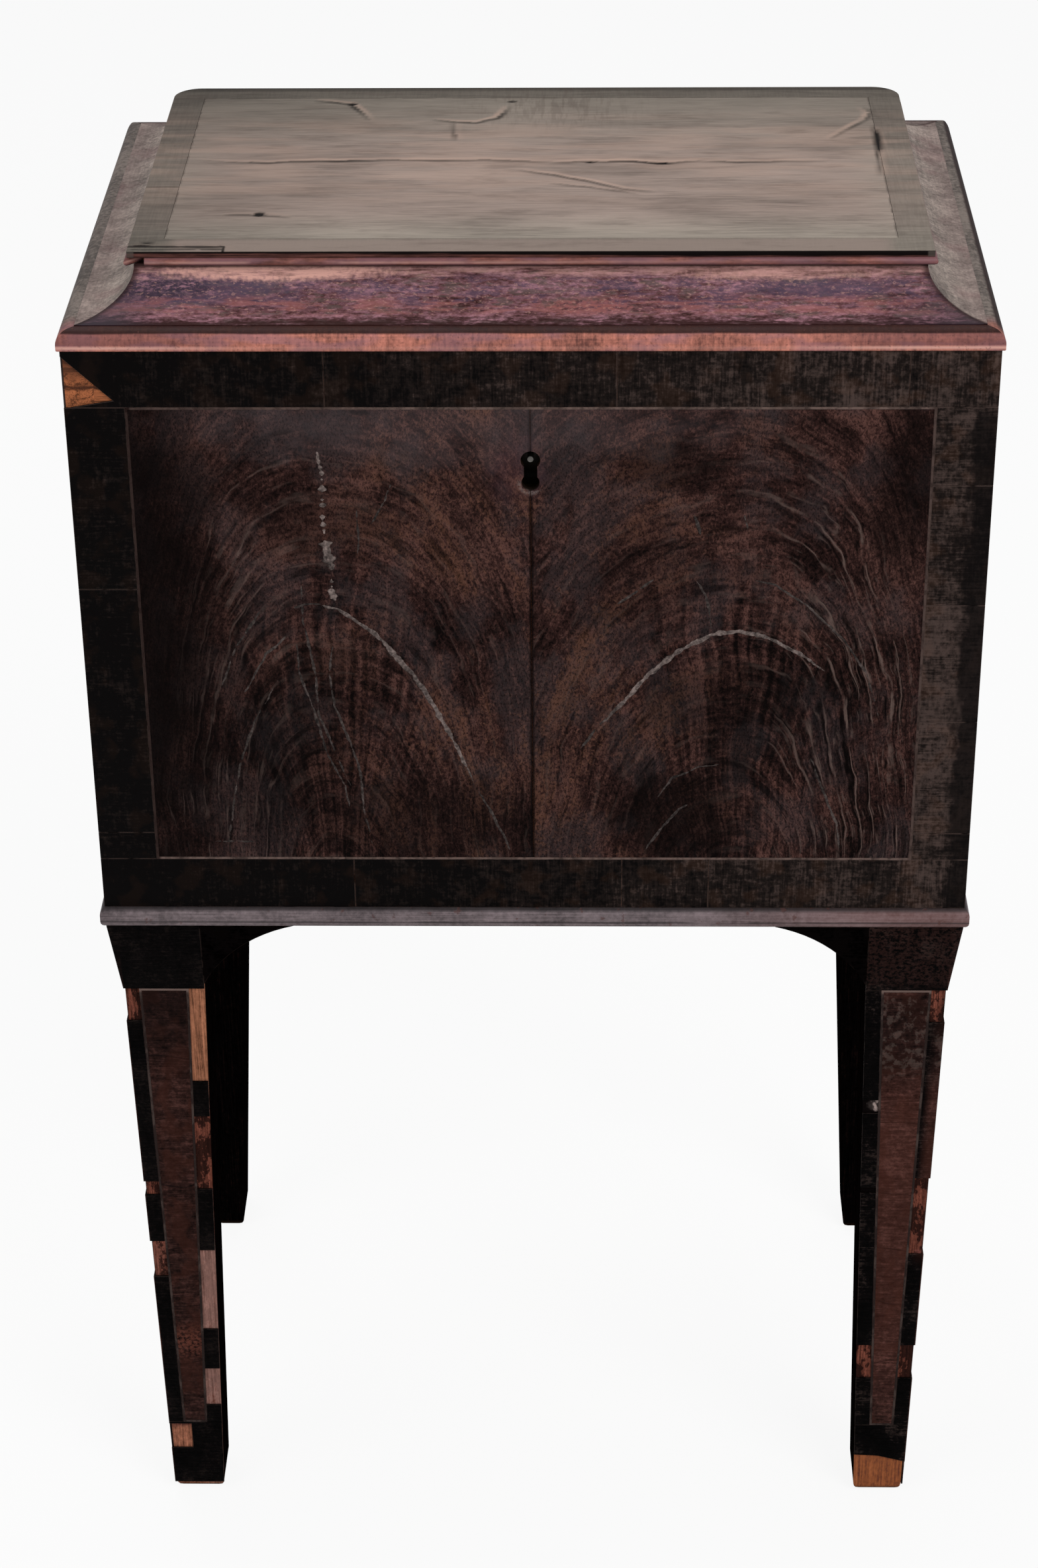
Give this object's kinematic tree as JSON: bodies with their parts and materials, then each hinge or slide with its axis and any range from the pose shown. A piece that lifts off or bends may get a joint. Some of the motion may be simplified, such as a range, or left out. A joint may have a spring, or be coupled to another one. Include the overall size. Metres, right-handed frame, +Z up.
{
  "type": "cellarette",
  "caption": "Small chest with a hinged, coved lid and a lock, on tall tapered legs with corner brackets, partitioned inside for bottles.",
  "frame": {"origin": "on the floor, under the middle of the chest", "axes": "+Z up, -Y is the front with the keyhole, +X is to the right of someone facing it"},
  "size_m": [0.455, 0.3052, 0.763],
  "materials": {
    "carcass_wood": "worn, dry, reddish orange where bare",
    "drawer_lining_wood": "unpolished pale secondary wood",
    "partition_wood": "unpolished, dusty",
    "field_veneer": "old polish, dull, flame figured",
    "crossband_veneer": "old polish, dark, cross grained",
    "stringing": "pale inlaid line, dirty",
    "side_veneer": "old polish, dull",
    "lid_moulding_wood": "old polish, glossy where sheltered",
    "lid_top_veneer": "bleached, bare and dry",
    "lid_band_veneer": "bleached, bare and dry",
    "waist_moulding_wood": "worn, greyed",
    "leg_wood": "bare reddish orange under lost veneer",
    "leg_veneer": "old polish, cross grained",
    "lock_brass": "tarnished",
    "lock_steel": "worn bright",
    "screw_steel": "dull"
  },
  "bodies": {
    "case": {"case_front_board": "carcass_wood", "case_back_board": "carcass_wood", "case_left_board": "carcass_wood", "case_right_board": "carcass_wood", "case_bottom_board": "drawer_lining_wood", "long_divider": "partition_wood", "cross_dividers": "partition_wood", "front_field_left": "field_veneer", "front_field_right": "field_veneer", "front_band_top": "crossband_veneer", "front_band_bottom": "crossband_veneer", "front_band_left": "crossband_veneer", "front_band_right": "crossband_veneer", "front_stringing": "stringing", "left_side_veneer": "side_veneer", "right_side_veneer": "side_veneer", "lock_back_plate": "lock_brass", "lock_case_walls": "lock_brass", "lock_cap": "lock_brass", "lock_drill_pin": "lock_steel", "case_screws": "screw_steel", "hinge_case_leaves": "lock_brass", "hinge_pins": "lock_steel", "platform_board": "drawer_lining_wood", "waist_moulding_front": "waist_moulding_wood", "waist_moulding_right": "waist_moulding_wood", "waist_moulding_back": "waist_moulding_wood", "waist_moulding_left": "waist_moulding_wood", "front_left_leg": "leg_wood", "front_right_leg": "leg_wood", "rear_left_leg": "leg_wood", "rear_right_leg": "leg_wood", "leg_brackets": "leg_veneer", "glue_blocks": "drawer_lining_wood", "front_left_leg_veneer": "leg_veneer", "front_right_leg_veneer": "leg_veneer", "rear_leg_veneers": "leg_veneer", "leg_stringing": "stringing"},
    "bolt": {"lock_bolt": "lock_steel", "bolt_spring": "lock_steel"},
    "lid": {"lid_front_rail": "lid_moulding_wood", "lid_right_rail": "lid_moulding_wood", "lid_back_rail": "lid_moulding_wood", "lid_left_rail": "lid_moulding_wood", "lid_front_bead": "lid_moulding_wood", "lid_right_bead": "lid_moulding_wood", "lid_back_bead": "lid_moulding_wood", "lid_left_bead": "lid_moulding_wood", "lid_top_board": "carcass_wood", "lid_top_field": "lid_top_veneer", "lid_top_bands": "lid_band_veneer", "lid_front_nosing": "lid_moulding_wood", "lid_right_nosing": "lid_moulding_wood", "lid_back_nosing": "lid_moulding_wood", "lid_left_nosing": "lid_moulding_wood", "lid_screws": "screw_steel", "link_plate": "lock_brass", "hinge_lid_leaves": "lock_brass"}
  },
  "joints": [
    {"name": "lid_hinge", "type": "hinge", "parent": "case", "child": "lid", "pos_m": [0, 0.1505, 0.724], "axis": [-1, 0, 0], "range_deg": [0, 105]},
    {"name": "bolt_slide", "type": "slide", "parent": "case", "child": "bolt", "axis": [1, 0, 0], "range_m": [0, 0.007]}
  ]
}
